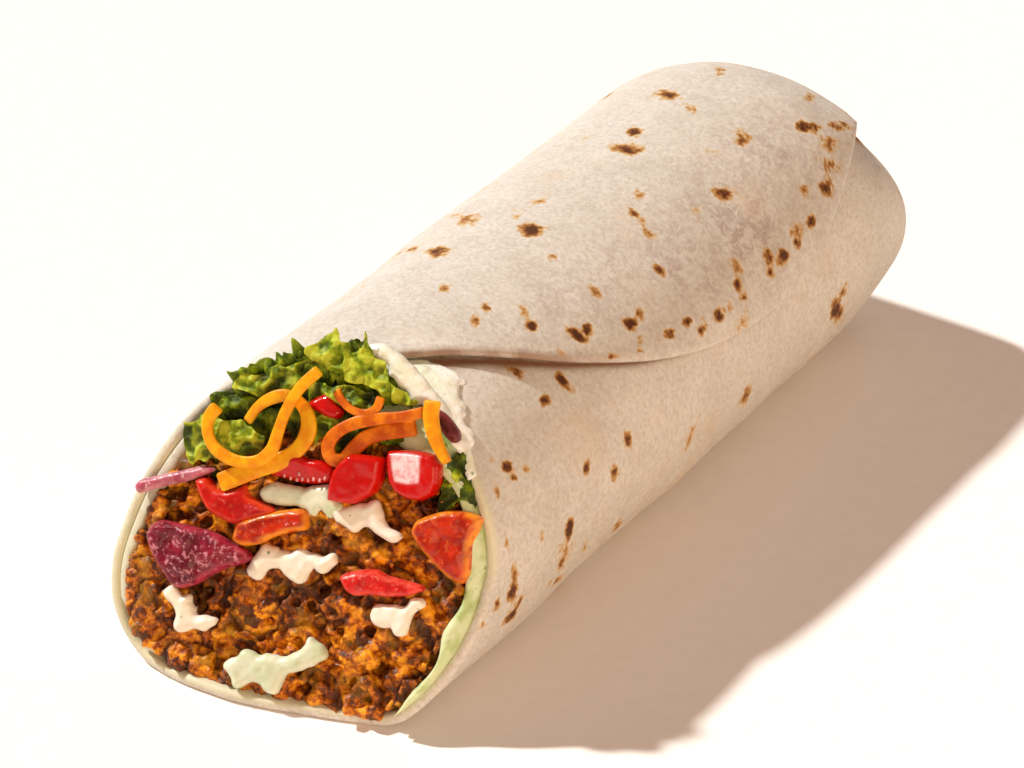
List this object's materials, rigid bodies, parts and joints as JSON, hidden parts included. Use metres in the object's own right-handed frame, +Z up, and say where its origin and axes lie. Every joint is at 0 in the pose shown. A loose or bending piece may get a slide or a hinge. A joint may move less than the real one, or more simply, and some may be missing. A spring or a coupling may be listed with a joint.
{
  "type": "burrito",
  "caption": "Flour tortilla rolled round its filling, shut at one end and open on a slant at the other, where mince, lettuce, cheese, tomato and cream show.",
  "frame": {"origin": "middle of the bounding box's underside, on the surface the burrito lies on", "axes": "+Y along the roll towards its shut end, so the open end faces -Y; +X to the right as the open end is looked at; +Z up"},
  "size_m": [0.0686, 0.1736, 0.0582],
  "materials": {
    "tortilla": "soft baked flour dough, cream with brown toast marks",
    "mince": "moist browned crumbs",
    "lettuce": "fresh yellow-green leaf",
    "cream": "smooth wet cream with a touch of green",
    "cheese": "waxy yellow-orange shreds",
    "tomato": "wet red dice",
    "pepper": "red to orange, paler at the edges",
    "onion": "purple with pale speckles"
  },
  "bodies": {
    "root": {"tortilla": "tortilla", "mince": "mince", "lettuce": "lettuce", "leaf_right": "lettuce", "cream_lining": "cream", "cream_on_rim": "cream", "cream_dollop_1": "cream", "cream_dollop_2": "cream", "cream_dollop_3": "cream", "cream_dollop_4": "cream", "cream_dollop_5": "cream", "cream_dollop_6": "cream", "cheese_shred_1": "cheese", "cheese_shred_2": "cheese", "cheese_shred_3": "cheese", "cheese_shred_4": "cheese", "cheese_shred_5": "cheese", "tomato_1": "tomato", "tomato_2": "tomato", "tomato_3": "tomato", "tomato_4": "tomato", "pepper_right": "pepper", "pepper_left": "pepper", "pepper_strip_left": "pepper", "pepper_strip_right": "pepper", "onion_wedge": "onion", "onion_strip": "onion", "onion_piece": "onion"}
  },
  "joints": []
}
